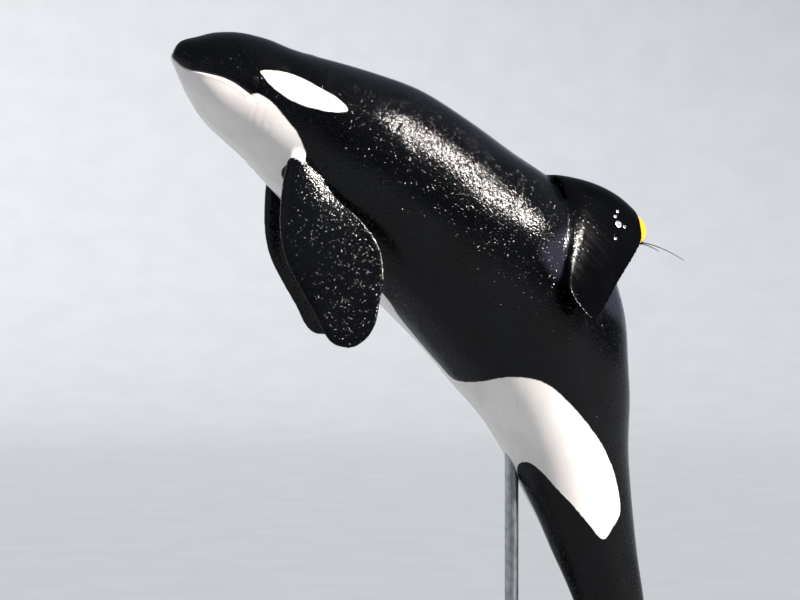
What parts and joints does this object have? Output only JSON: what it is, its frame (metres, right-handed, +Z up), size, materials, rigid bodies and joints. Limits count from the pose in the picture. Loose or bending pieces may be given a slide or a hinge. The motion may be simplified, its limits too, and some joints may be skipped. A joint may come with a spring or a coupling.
{
  "type": "animal model",
  "caption": "Life-size leaping orca with a folded-over back fin that carries a small tag, held by rods on a flat display base.",
  "frame": {"origin": "middle of the display base's underside, where it stands on the floor", "axes": "+Z up, -X the way the head points, -Y towards the viewer who sees the animal's left side"},
  "size_m": [3.7225, 2.3568, 5.6786],
  "materials": {
    "skin": "wet gloss",
    "skin_white": "wet gloss",
    "eye": "gloss",
    "tag_plastic": "satin",
    "tag_steel": "brushed",
    "tag_wire": "matte",
    "stand_base_paint": "satin",
    "stand_steel": "brushed"
  },
  "bodies": {
    "root": {"head": "skin", "lower_jaw": "skin_white", "chest": "skin", "belly": "skin", "tail_stock": "skin", "dorsal_fin": "skin", "flipper_left": "skin", "flipper_right": "skin", "fluke_left": "skin", "fluke_right": "skin", "eye_left": "eye", "eye_right": "eye", "tag_housing": "tag_plastic", "tag_pin_1": "tag_steel", "tag_pin_2": "tag_steel", "tag_pin_3": "tag_steel", "tag_pin_4": "tag_steel", "tag_pin_5": "tag_steel", "tag_antenna_1": "tag_wire", "tag_antenna_2": "tag_wire", "stand_base": "stand_base_paint", "stand_rod_front": "stand_steel", "stand_rod_rear": "stand_steel"}
  },
  "joints": []
}
